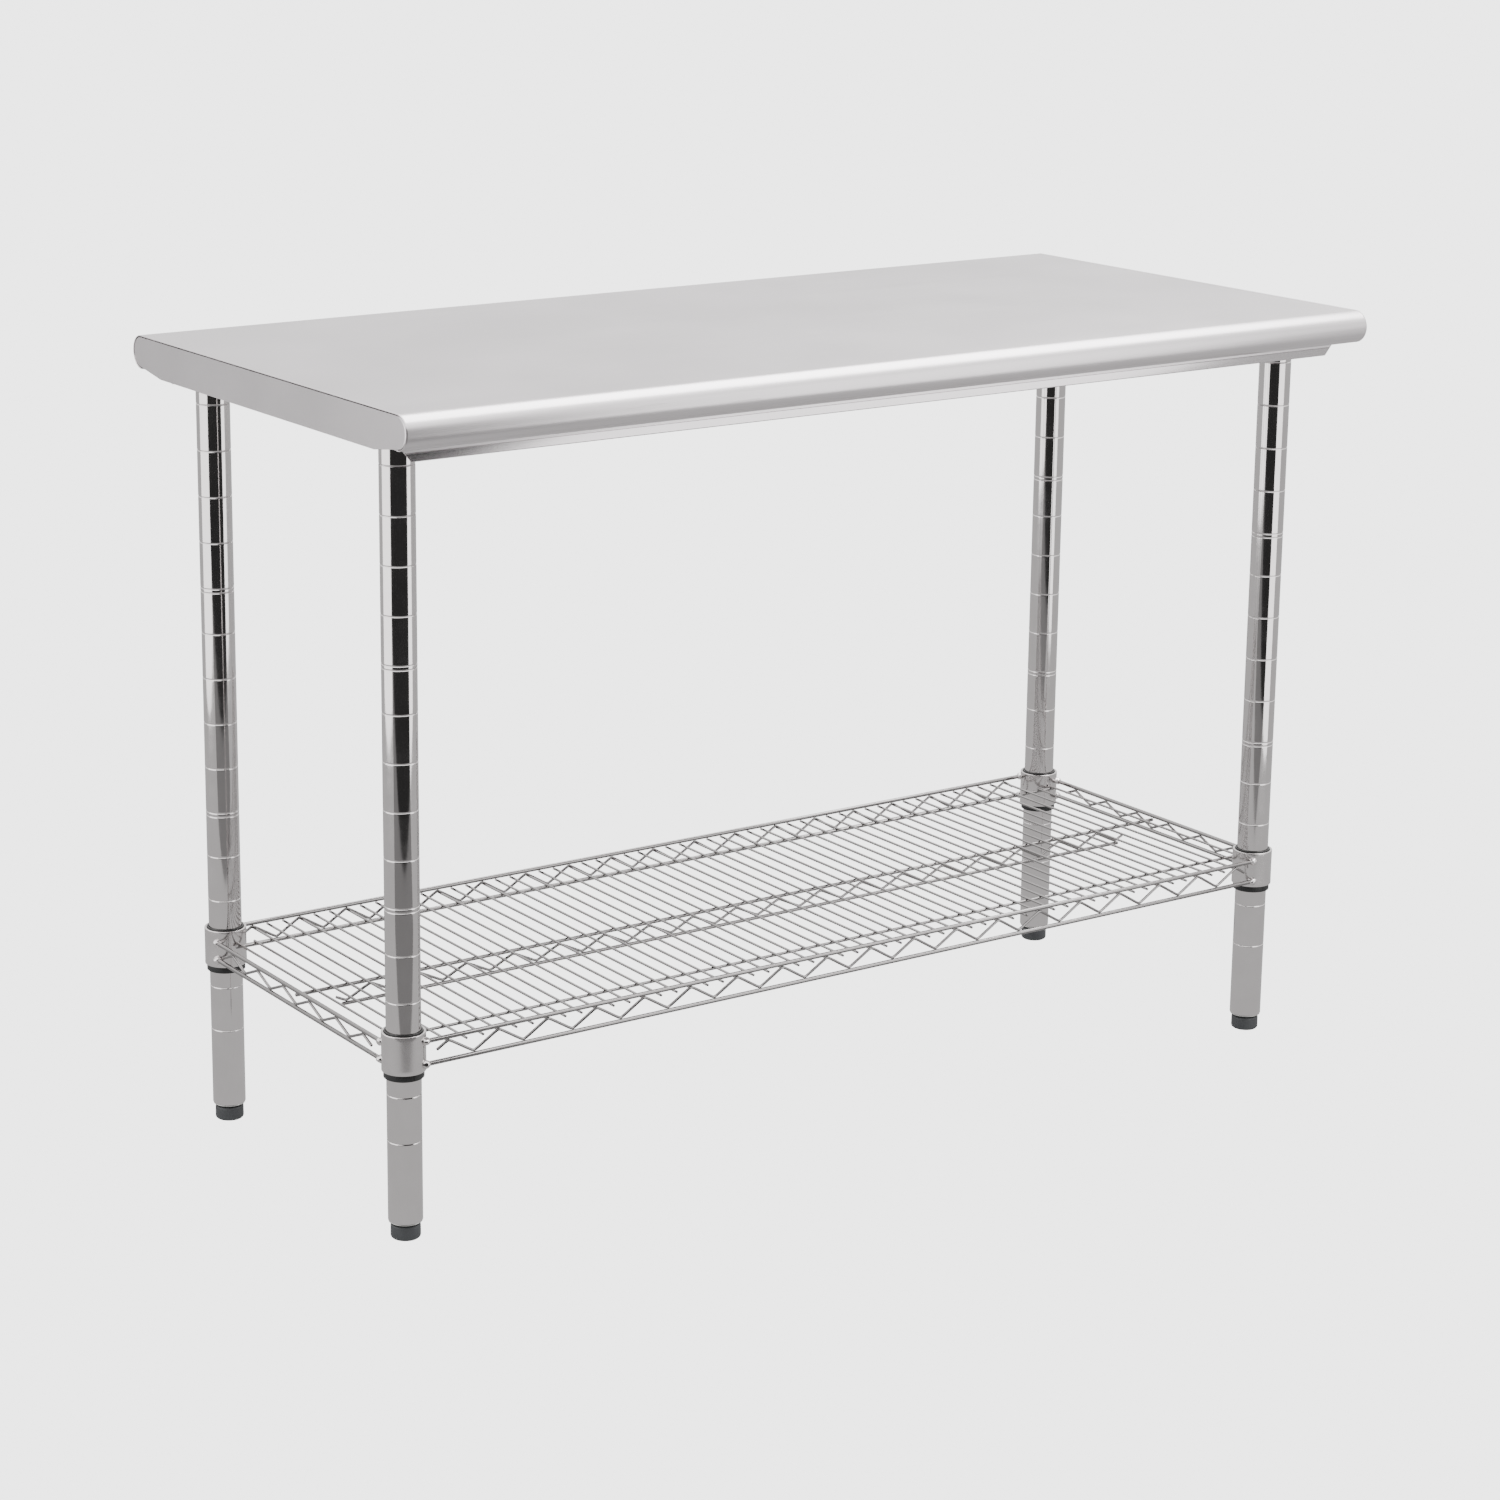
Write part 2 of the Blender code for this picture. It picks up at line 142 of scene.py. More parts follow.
def brushedSheetMaterial():
    # grain: noise squeezed to long threads along X, over a slow mottle, a fine speckle and a few
    # scratches; the hems below hemTop are smoother
    material, g = newMaterial("brushed_sheet")
    threads = g.noise(g.stretched((2.2, 620.0, 620.0)), 1.0, 4.0, 0.6)
    fine = g.noise(g.stretched((9.0, 2400.0, 2400.0)), 1.0, 2.0, 0.5)
    mottle = g.noise(g.place(), 5.5, 3.0, 0.55)
    scratch = g.noise(g.stretched((14.0, 190.0, 190.0), (0.0, 0.0, 0.5)), 1.0, 2.0, 0.4).above(0.735)
    speckle = g.noise(g.place(), 260.0, 3.0, 0.7)
    mask = (threads * 0.50 + fine * 0.25 + mottle * 0.35 + speckle * 0.25 - 0.22).smallest(1.0).largest(0.0)
    height = g.node("ShaderNodeSeparateXYZ", None, {0: g.place()}, "Z")
    hem = ((sheetLook["hemTop"] - height) / sheetLook["hemFade"]).largest(0.0).smallest(1.0)
    roughness = sheetLook["roughness"] + (threads - 0.5) * sheetLook["grain"]
    roughness = roughness + (mottle - 0.5) * sheetLook["mottle"] + scratch * sheetLook["scratch"]
    relief = threads * 0.7 + fine * 0.3 - scratch * 0.25
    g.finish(
        Base_Color=g.blendColors(mask, sheetLook["dark"], sheetLook["light"]),
        Metallic=1.0,
        Roughness=roughness * (hem * -sheetLook["hemSmoother"] + 1.0),
        Normal=g.bump(relief, sheetLook["bump"], sheetLook["bumpDepth"]),
    )
    return material


chromeLook = {
    "light": (0.790, 0.758, 0.756, 1.0), "dark": (0.670, 0.636, 0.630, 1.0),
    "haze": 0.14, "lines": 0.05, "pits": 0.10, "bump": 0.06, "bumpDepth": 0.00010,
}


def chromeMaterial(name, roughness, scale, direction, tone=1.0):
    # plating: faint polishing lines round or along the piece, haze patches, tiny pits; a tone below 1 darkens the
    # whole colour as painted shade
    material, g = newMaterial(name)
    dark, light = (tuple(c * tone for c in chromeLook[k][:3]) + (1.0,) for k in ("dark", "light"))
    lines = g.noise(g.stretched(direction), 1.0, 3.0, 0.6)
    haze = g.noise(g.place(), scale, 4.0, 0.55)
    pits = g.noise(g.place(), 900.0, 1.0, 0.4).above(0.78)
    g.finish(
        Base_Color=g.blendColors((haze * 0.8 + lines * 0.3).smallest(1.0), dark, light),
        Metallic=1.0,
        Roughness=roughness + (haze - 0.4).largest(0.0) * chromeLook["haze"]
        + (lines - 0.5) * chromeLook["lines"] + pits * chromeLook["pits"],
        Normal=g.bump(lines * 0.5 - pits * 0.6, chromeLook["bump"], chromeLook["bumpDepth"]),
    )
    return material


def galvanisedMaterial():
    # zinc spangle: large crystals, each with its own tone and sheen
    material, g = newMaterial("galvanised_channel")
    crystal = g.node("ShaderNodeTexVoronoi", {"feature": "F1"}, {"Vector": g.place(), "Scale": 95.0}, "Color")
    tone = g.node("ShaderNodeSeparateColor", None, {0: crystal})
    dust = g.noise(g.place(), 22.0, 4.0, 0.6)
    dull, bright = (0.40, 0.41, 0.42, 1.0), (0.58, 0.59, 0.60, 1.0)
    g.finish(
        Base_Color=g.blendColors((tone * 0.7 + dust * 0.3).smallest(1.0), dull, bright),
        Metallic=1.0,
        Roughness=0.34 + tone * 0.16 + dust * 0.08,
        Normal=g.bump(tone * 0.5 + dust * 0.5, 0.10, 0.0002),
    )
    return material


def zincMaterial():
    # bright zinc: faint warm and cool blush, turned lines
    material, g = newMaterial("zinc_plate")
    blush = g.noise(g.place(), 60.0, 3.0, 0.5)
    lines = g.noise(g.stretched((60.0, 60.0, 5200.0)), 1.0, 2.0, 0.5)
    g.finish(
        Base_Color=g.blendColors(blush, (0.60, 0.61, 0.64, 1.0), (0.72, 0.70, 0.64, 1.0)),
        Metallic=1.0,
        Roughness=0.20 + (lines - 0.5) * 0.12 + blush * 0.08,
        Normal=g.bump(lines, 0.15, 0.00008),
    )
    return material


def plasticMaterial(name, deep, pale, roughness, scuffHeight):
    # moulded plastic: fine leather-like grain, soft tone patches, rubbed and dusty low down
    material, g = newMaterial(name)
    grain = g.noise(g.place(), 2600.0, 3.0, 0.6)
    patches = g.noise(g.place(), 70.0, 4.0, 0.6)
    height = g.node("ShaderNodeSeparateXYZ", None, {0: g.place()}, "Z")
    rub = ((scuffHeight - height) / 0.004).largest(0.0).smallest(1.0) * (patches * 1.3).smallest(1.0)
    g.finish(
        Base_Color=g.blendColors((patches * 0.6 + rub * 0.5).smallest(1.0), deep, pale),
        Metallic=0.0,
        Roughness=roughness + (grain - 0.5) * 0.16 + rub * 0.15,
        Normal=g.bump(grain + patches * 0.4, 0.22, 0.00012),
    )
    return material


materials = {
    "sheet": brushedSheetMaterial(),
    "post": chromeMaterial("chrome_post", 0.070, 34.0, (900.0, 900.0, 60.0)),
    "collar": chromeMaterial("chrome_collar", 0.150, 60.0, (120.0, 120.0, 2600.0)),
    # the wire chrome is darkened to 0.38: painted shade, standing in for the dark surroundings that the wires
    # mirror
    "wire": chromeMaterial("chrome_wire", 0.140, 45.0, (60.0, 60.0, 60.0), 0.38),
    "weld": chromeMaterial("chrome_weld", 0.130, 320.0, (800.0, 800.0, 800.0)),
    "galvanised": galvanisedMaterial(),
    "zinc": zincMaterial(),
    "sleeve": plasticMaterial(
        "black_sleeve", (0.006, 0.006, 0.006, 1.0), (0.020, 0.020, 0.021, 1.0), 0.42, -1.0),
    "foot": plasticMaterial("dark_foot", (0.030, 0.032, 0.035, 1.0), (0.075, 0.078, 0.082, 1.0), 0.50, 0.004),
}
print("materials made")


def signedVolume(points, quads):
    # sum of the corner products of each face's two triangles: positive when faces look outwards
    a, b, c, d = (points[quads[:, i]] for i in range(4))
    return float(np.einsum("ij,ij->", a, np.cross(b, c)) + np.einsum("ij,ij->", a, np.cross(c, d)))


def gridFaces(rows, columns, wrapRows, wrapColumns, start=0):
    # faces (i, j) - (i + 1, j + 1) of a grid of rows by columns points, optionally joined round
    i = np.arange(rows if wrapRows else rows - 1)
    j = np.arange(columns if wrapColumns else columns - 1)
    ii, jj = np.meshgrid(i, j, indexing="ij")
    i2, j2 = (ii + 1) % rows, (jj + 1) % columns
    quads = np.stack([ii * columns + jj, ii * columns + j2, i2 * columns + j2, i2 * columns + jj], -1)
    return quads.reshape(-1, 4) + start


def makePiece(name, surfaces, material, body, replaced=(), smooth=40.0):
    # surfaces: list of (points grid, wrapRows, wrapColumns); ends that stay open get one flat face each
    allPoints, faces, offset = [], [], 0
    for grid, wrapRows, wrapColumns in surfaces:
        rows, columns = grid.shape[:2]
        flat = grid.reshape(-1, 3)
        quads = gridFaces(rows, columns, wrapRows, wrapColumns)
        caps = []
        if not wrapRows:
            caps = [np.arange(columns)[::-1], np.arange(columns) + (rows - 1) * columns]
        elif not wrapColumns:
            caps = [np.arange(rows) * columns, (np.arange(rows) * columns + columns - 1)[::-1]]
        middle = flat.mean(axis=0)
        if signedVolume(flat - middle, quads) < 0:
            quads = quads[:, ::-1]
            caps = [cap[::-1] for cap in caps]
        faces += (quads + offset).tolist() + [(cap + offset).tolist() for cap in caps]
        allPoints.append(flat)
        offset += len(flat)
    mesh = bpy.data.meshes.new(name)
    mesh.from_pydata(np.concatenate(allPoints).tolist(), [], faces)
    mesh.materials.append(material)
    mesh.shade_smooth()
    mesh.set_sharp_from_angle(angle=math.radians(smooth))
    mesh.validate()
    piece = bpy.data.objects.new(name, mesh)
    bpy.context.scene.collection.objects.link(piece)
    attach(piece, body)
    if replaced:
        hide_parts(*replaced)
    return piece


def finishNode(node, surfaces, material, smooth=40.0):
    return makePiece(node + "_finish", surfaces, material, bodyOfNode[node], (node,), smooth)


def turned(profile, x, y, steps=72, start=0.0, end=2 * math.pi):
    # point (i, j) = axis + radius_i (cos t_j, sin t_j), height_i
    profile = np.asarray(profile, float)
    whole = abs(end - start - 2 * math.pi) < 1e-6
    t = np.linspace(start, end, steps, endpoint=not whole)
    r, z = profile[:, 0:1], profile[:, 1:2]
    return np.stack([x + r * np.cos(t), y + r * np.sin(t), z + 0 * t], -1)


def rounded(profile, radius, steps=4):
    # each corner of a closed outline is replaced by an arc-like blend between points a radius away
    p = np.asarray(profile, float)
    before, after = np.roll(p, 1, axis=0) - p, np.roll(p, -1, axis=0) - p
    lengthBefore = np.linalg.norm(before, axis=1, keepdims=True)
    lengthAfter = np.linalg.norm(after, axis=1, keepdims=True)
    reach = np.minimum(radius, 0.45 * np.minimum(lengthBefore, lengthAfter))
    a, b = p + before / lengthBefore * reach, p + after / lengthAfter * reach
    s = np.linspace(0.0, 1.0, steps)[None, :, None]
    curve = (1 - s) ** 2 * a[:, None] + 2 * s * (1 - s) * p[:, None] + s ** 2 * b[:, None]
    return curve.reshape(-1, 2)


def tube(path, radius, across, sides=12, roundEnds=True):
    # circle of the radius carried along the path, in the frame of its tangent and a fixed cross direction
    path = np.asarray(path, float)
    tangent = np.gradient(path, axis=0)
    tangent /= np.linalg.norm(tangent, axis=1, keepdims=True)
    scale = np.ones(len(path))
    if roundEnds:
        turn = np.linspace(math.pi / 2, 0.15, 4)[:-1]
        outs, sizes = np.cos(turn)[::-1] * radius * 0.45, np.sin(turn)[::-1]
        head = path[0] - tangent[0] * outs[:, None]
        tail = path[-1] + tangent[-1] * outs[::-1][:, None]
        path = np.concatenate([head, path, tail])
        tangent = np.concatenate([np.repeat(tangent[:1], 3, 0), tangent, np.repeat(tangent[-1:], 3, 0)])
        scale = np.concatenate([sizes, scale, sizes[::-1]])
    side = np.broadcast_to(np.asarray(across, float), path.shape)
    up = np.cross(tangent, side)
    up /= np.linalg.norm(up, axis=1, keepdims=True)
    a = np.arange(sides) * 2 * math.pi / sides
    ring = side[:, None] * np.cos(a)[None, :, None] + up[:, None] * np.sin(a)[None, :, None]
    return path[:, None] + ring * (radius * scale)[:, None, None]


top = {
    "length": 1.264, "depth": 0.600, "height": 0.886, "roll": 0.0185, "sheet": 0.0012,
    "flangeY": 0.2612, "flangeBottom": 0.8325, "flangeHalfTop": 0.6190, "flangeHalfBottom": 0.6044,
    "flangeOverlap": 0.0006, "hemHalf": 0.0013,
    "hemLine": ((0.0013, 0.0096), (0.0010, 0.0092), (0.0013, 0.0088)),  # half thickness, height
    "panelGap": 0.0009, "panelThickness": 0.0014, "panelInset": 0.0004, "panelBottom": 0.8437,
    "panelStraight": 0.2350,
    "panelEdge": ((0.0004, 0.0), (0.00012, 0.0005), (0.0, 0.0011), (0.0, 0.0022)),  # depth, pull
    "cutEdge": ((0.0, 0.75), (0.00018, 0.30), (0.0005, 0.0)),  # in from the end, share of the way to the core
    "lipEnd": 0.6298, "lipStep": 0.0002, "shortLip": 0.2808, "lastStation": 0.02,
}


def rollOutline(inset, lip, steps=28):
    # flat top, then a half circle of the roll radius, then back inwards to the lip, at -Y
    radius = top["roll"] - inset
    t = np.linspace(math.pi / 2, 1.5 * math.pi, steps)
    cy, cz = -(top["depth"] / 2 - top["roll"]), top["height"] - top["roll"]
    arc = np.stack([cy + radius * np.cos(t), cz + radius * np.sin(t)], -1)
    return np.concatenate([arc, [[-lip, cz - radius]]]) if lip else arc


def buildWorktop():
    def section(first, second, lip):
        half = np.concatenate([rollOutline(first, lip), rollOutline(second, lip)[::-1]])
        return np.concatenate([half, half[::-1] * (-1, 1)])
    end, half = top["length"] / 2, top["sheet"] / 2
    full = section(0.0, top["sheet"], top["flangeY"])
    short, core = (section(a, b, top["shortLip"]) for a, b in ((0.0, top["sheet"]), (half, half)))
    # the lip stops where the end panels reach down past it; the sheet's cut ends are softly rounded
    marks = [(end - back, pull, short) for back, pull in top["cutEdge"]]
    marks += [(top["lipEnd"] + top["lipStep"], 0.0, short), (top["lipEnd"], 0.0, full)]
    marks += [(x, 0.0, full) for x in np.linspace(end - top["lastStation"], top["lastStation"], 13)]
    stations = [(-x, pull, outline) for x, pull, outline in marks]
    stations += marks[::-1]
    rows = [np.column_stack([np.full(len(o), x), o + (core - o) * pull]) for x, pull, o in stations]
    surfaces = [(np.stack(rows), False, True)]
    # hemmed flanges: the leaf turns up on itself, with a fine line where the fold ends
    zTop, zBottom = top["height"] - 2 * top["roll"] + top["flangeOverlap"], top["flangeBottom"]
    hem = top["hemHalf"]
    t = np.linspace(0.0, math.pi, 9)
    fold = np.column_stack([hem * np.cos(t), zBottom + hem - hem * np.sin(t)])
    outside = [(hem, zTop)] + [(out, zBottom + up) for out, up in top["hemLine"]]
    leaf = np.concatenate([outside, fold, [[-hem, zTop]]])
    slope = (top["flangeHalfTop"] - top["flangeHalfBottom"]) / (zTop - zBottom)
    for sign in (-1, 1):
        y = sign * (top["flangeY"] + leaf[:, 0])
        halfLength = top["flangeHalfBottom"] + (leaf[:, 1] - zBottom) * slope
        rows = np.stack([np.column_stack([s * halfLength, y, leaf[:, 1]]) for s in (-1.0, -0.5, 0.5, 1.0)])
        surfaces.append((rows, False, True))
    finishNode("worktop_sheet", surfaces, materials["sheet"], 30.0)
    for side, sign in (("left", -1), ("right", 1)):
        arc = rollOutline(top["sheet"] + top["panelGap"], 0)
        slope = np.linspace(arc[-1], (-top["panelStraight"], top["panelBottom"]), 5)[1:]
        half = np.concatenate([arc, slope])
        outline = np.concatenate([half, half[::-1] * (-1, 1)])
        centre = outline.mean(axis=0)
        face = sign * (end - top["panelInset"])
        direction = centre - outline
        direction /= np.linalg.norm(direction, axis=1, keepdims=True)
        rows = []
        for behind, pull in ((top["panelThickness"], 0.0), *top["panelEdge"]):
            x = face - sign * behind
            rows.append(np.column_stack([np.full(len(outline), x), outline + direction * pull]))
        finishNode("end_panel_" + side, [(np.stack(rows), False, True)], materials["sheet"], 30.0)


buildWorktop()
print("worktop made")

post = {
    "x": 0.5865, "y": 0.2005, "radius": 0.0184, "wall": 0.0012, "bottom": 0.0200, "top": 0.8800,
    "firstGroove": 0.8707, "pitch": 0.0508, "grooves": 16, "doubles": (5, 10), "doubleGap": 0.0043,
    "grooveDepth": 0.00055, "grooveWidth": 0.00055, "grooveReach": 0.0016, "edge": 0.0006,
    "belowTop": 0.0008, "aboveBottom": 0.0012, "plainFrom": 0.03, "plainTo": 0.87,
}


def postSurface(x, y):
    # radius(z) = R - depth * sum of narrow bells at the grooves; then down the rounded foot and up inside
    centres = post["firstGroove"] - post["pitch"] * np.arange(post["grooves"])
    centres = np.concatenate([centres, centres[list(post["doubles"])] - post["doubleGap"]])
    near = np.linspace(-post["grooveReach"], post["grooveReach"], 13)
    ends = [post["top"] - post["belowTop"], post["bottom"] + post["aboveBottom"]]
    plain = np.linspace(post["plainFrom"], post["plainTo"], 29)
    z = np.concatenate([(centres[:, None] + near).ravel(), ends, plain])
    z = np.unique(np.round(z, 6))[::-1]
    bells = np.exp(-((z[:, None] - centres) / post["grooveWidth"]) ** 2).max(axis=1)
    radius = post["radius"] - post["grooveDepth"] * bells
    outer = np.column_stack([radius, z])
    t = np.linspace(0.0, math.pi / 2, 5)
    edge = post["edge"]
    foot = np.column_stack([post["radius"] - edge + edge * np.cos(t), post["bottom"] + edge - edge * np.sin(t)])
    lip = np.column_stack([post["radius"] - edge + edge * np.sin(t), post["top"] - edge + edge * np.cos(t)])
    inside = post["radius"] - post["wall"]
    profile = np.concatenate([lip, outer, foot, [[inside, post["bottom"]], [inside, post["top"]]]])
    return turned(profile, x, y, 96)


collar = {
    "radius": 0.0234, "bottom": 0.1850, "top": 0.2270, "boreBottom": 0.0213, "boreTop": 0.0207,
    "round": 0.0007, "socketBottom": 0.8515, "socketTop": 0.8830, "waist": 0.00012,
}


def collarSurface(x, y, bottom, high):
    # a short tube with softly rounded edges and a slight waist: radius = R - waist * (1 - u^2)
    u = np.linspace(1.0, -1.0, 9)
    z = (high + bottom) / 2 + u * (high - bottom) / 2
    skin = np.column_stack([collar["radius"] - collar["waist"] * (1 - u ** 2), z])
    outline = np.concatenate([skin, [[collar["boreBottom"], bottom], [collar["boreTop"], high]]])
    corners = rounded(outline[[0, 8, 9, 10]], collar["round"], 5)
    body = np.concatenate([corners[:5], skin[1:8], corners[5:]])
    return turned(body, x, y, 96)


sleeve = {
    "inner": 0.0187, "topRadius": 0.0203, "ringRadius": 0.0209, "lipRadius": 0.0214,
    "bottom": 0.1778, "top": 0.2285, "upperBottom": 0.8500, "upperShoulder": 0.8515, "upperTop": 0.8795,
    "lipDrop": 0.0003, "round": 0.0004, "split": 0.008, "upperSplit": 0.08,  # radians left open at the joint lines
}


def sleeveSurface(x, y, bottom, shoulder, high, start, end):
    # a tapered ring wall, turned through part of a circle
    outline = [
        (sleeve["topRadius"], high), (sleeve["ringRadius"], shoulder - sleeve["lipDrop"]),
        (sleeve["lipRadius"], shoulder - sleeve["lipDrop"]), (sleeve["lipRadius"], bottom),
        (sleeve["inner"], bottom), (sleeve["inner"], high),
    ]
    return turned(rounded(outline, sleeve["round"], 4), x, y, 48, start, end)


foot = {
    "height": 0.0160, "edgeCentre": 0.0126, "edge": 0.0034, "stem": 0.0050, "stemTop": 0.0550,
    "thread": 0.00125, "threadDepth": 0.0005, "threadFrom": 0.0183, "threadFade": 0.0015, "hexagon": 0.0092,
    "hexagonRows": (  # height, largest radius
        (0.0163, 0.0083), (0.0166, 0.0088), (0.0169, 1.0), (0.0176, 1.0), (0.0179, 0.0088), (0.0182, 0.0083),
    ),
}


def footSurface(x, y):
    # turned cup: rounded lower edge, short draft, chamfered shoulder and a shallow dish on top
    t = np.linspace(0.0, math.pi / 2, 8)
    edge = foot["edge"]
    low = np.column_stack([foot["edgeCentre"] + edge * np.cos(t), edge - edge * np.sin(t)])
    side = [(0.0147, foot["height"]), (0.0154, foot["height"] - 0.0004), (0.0158, foot["height"] - 0.0014),
            (0.0159, foot["height"] - 0.0030)]
    bore = [(0.0058, 0.0057), (0.0058, foot["height"] - 0.0004), (0.0062, foot["height"])]
    return turned(np.concatenate([[(0.0005, 0.0057)], bore, side, low, [(0.0005, 0.0)]]), x, y, 72)


def stemSurface(x, y):
    # thread: radius = r - depth * |saw(z / pitch - angle / turn)|, smooth near both ends
    low, fadeLength = foot["threadFrom"], foot["threadFade"]
    z = np.linspace(low, foot["stemTop"] - 0.0008, 170)
    t = np.arange(28) * 2 * math.pi / 28
    phase = z[:, None] / foot["thread"] - t / (2 * math.pi)
    saw = np.abs((phase % 1.0) - 0.5) * 2
    fade = np.clip((z - low) / fadeLength, 0, 1)
    fade = fade * np.clip((foot["stemTop"] - 0.0012 - z) / fadeLength, 0, 1)
    r = foot["stem"] - foot["threadDepth"] * saw * fade[:, None]
    grid = np.stack([x + r * np.cos(t), y + r * np.sin(t), z[:, None] + 0 * t], -1)
    tip = turned([(0.0046, foot["stemTop"] - 0.0003), (0.0041, foot["stemTop"])], x, y, 28)
    neck = turned([(foot["stem"], 0.0060), (foot["stem"], 0.0170)], x, y, 28)
    return np.concatenate([neck, grid, tip])


def hexagonSurface(x, y):
    # six-sided nut: corner radius on flats and corners, edges chamfered by shrinking the end rows
    t = np.arange(36) * 2 * math.pi / 36
    flat = foot["hexagon"] * math.cos(math.pi / 6) / np.cos((t % (math.pi / 3)) - math.pi / 6)
    rows = []
    for z, most in foot["hexagonRows"]:
        r = np.minimum(flat, most)
        rows.append(np.column_stack([x + r * np.cos(t), y + r * np.sin(t), np.full(36, z)]))
    return np.stack(rows)


insert = {
    "top": 0.0450, "bottom": 0.0186, "flangeTop": 0.0197, "radius": 0.0169, "flange": 0.0178, "bore": 0.0053,
}


def insertSurface(x, y):
    # plug pressed into the post, with a thin flange that shows as a bright line under it
    outline = [
        (insert["radius"], insert["top"]), (insert["radius"], insert["flangeTop"]),
        (insert["flange"], insert["flangeTop"]), (insert["flange"], insert["bottom"]),
        (insert["bore"], insert["bottom"]), (insert["bore"], insert["top"]),
    ]
    return turned(rounded(outline, 0.0003, 4), x, y, 72)


def buildCorner(corner, sx, sy):
    x, y = sx * post["x"], sy * post["y"]
    finishNode("post_" + corner, [(postSurface(x, y), True, True)], materials["post"], 60.0)
    finishNode("shelf_collar_" + corner,
               [(collarSurface(x, y, collar["bottom"], collar["top"]), True, True)], materials["collar"], 50.0)
    finishNode("top_socket_" + corner,
               [(collarSurface(x, y, collar["socketBottom"], collar["socketTop"]), True, True)],
               materials["collar"], 50.0)
    split = sleeve["split"]
    for half, turn in (("inner", 0.0 if sx < 0 else math.pi), ("outer", math.pi if sx < 0 else 0.0)):
        surface = sleeveSurface(x, y, sleeve["bottom"], collar["bottom"], sleeve["top"],
                                turn - math.pi / 2 + split, turn + math.pi / 2 - split)
        finishNode("shelf_sleeve_" + half + "_" + corner, [(surface, True, False)], materials["sleeve"], 45.0)
    surface = sleeveSurface(x, y, sleeve["upperBottom"], sleeve["upperShoulder"], sleeve["upperTop"],
                            math.pi / 2 + sleeve["upperSplit"], 2.5 * math.pi - sleeve["upperSplit"])
    finishNode("top_sleeve_" + corner, [(surface, True, False)], materials["sleeve"], 45.0)
    finishNode("foot_base_" + corner, [(footSurface(x, y), False, True)], materials["foot"], 35.0)
    finishNode("foot_stem_" + corner,
               [(stemSurface(x, y), False, True), (hexagonSurface(x, y), False, True)], materials["zinc"], 30.0)
    finishNode("post_insert_" + corner, [(insertSurface(x, y), True, True)], materials["zinc"], 40.0)


for cornerName, signs in cornerSigns.items():
    buildCorner(cornerName, *signs)
print("posts and feet made")

shelf = {
    "railOut": 0.0180, "railRadius": 0.0025, "standOff": 0.0160, "longTop": 0.2175, "longBottom": 0.1925,
    "shortTop": 0.2140, "shortBottom": 0.1945, "zigzag": 0.0016, "longPitch": 0.0604, "shortPitch": 0.0590,
    "bendGap": 0.0001, "wire": 0.00145, "wireZ": 0.2127, "sideCount": 29, "carrier": 0.0017, "carrierY": 0.1720,
    "middle": 0.0021, "middleTop": 0.20885, "middleBottom": 0.1880, "sharpness": 0.985,
    "longZigzagEnd": 0.5572, "shortZigzagEnd": 0.1652, "middleZigzagEnd": 0.5557,
    "middleTopEnd": 0.6045, "middleBottomEnd": 0.548,
    "wireOver": 0.0026, "everyThirdShort": 0.0049, "lastFull": 27, "overCarrier": 0.0028, "carrierOver": 0.0036,
    "carrierSink": 0.0003,
}


def zigzagLine(end, pitch, low, high, phase):
    # height = middle + swing * asin(k cos(2 pi s / pitch + phase)) / asin(k), a saw with rounded bends
    s = np.linspace(-end, end, int(2 * end / pitch * 26) + 1)
    k = shelf["sharpness"]
    wave = np.arcsin(k * np.cos(2 * math.pi * s / pitch + phase)) / math.asin(k)
    return s, (low + high) / 2 + wave * (high - low) / 2


def rodAlong(axis, end, fixed, z, radius):
    s = np.linspace(-end, end, 13)
    flat, level = np.full_like(s, fixed), np.full_like(s, z)
    path = np.column_stack([s, flat, level]) if axis == 0 else np.column_stack([flat, s, level])
    return tube(path, radius, (0, 0, 1), 16)


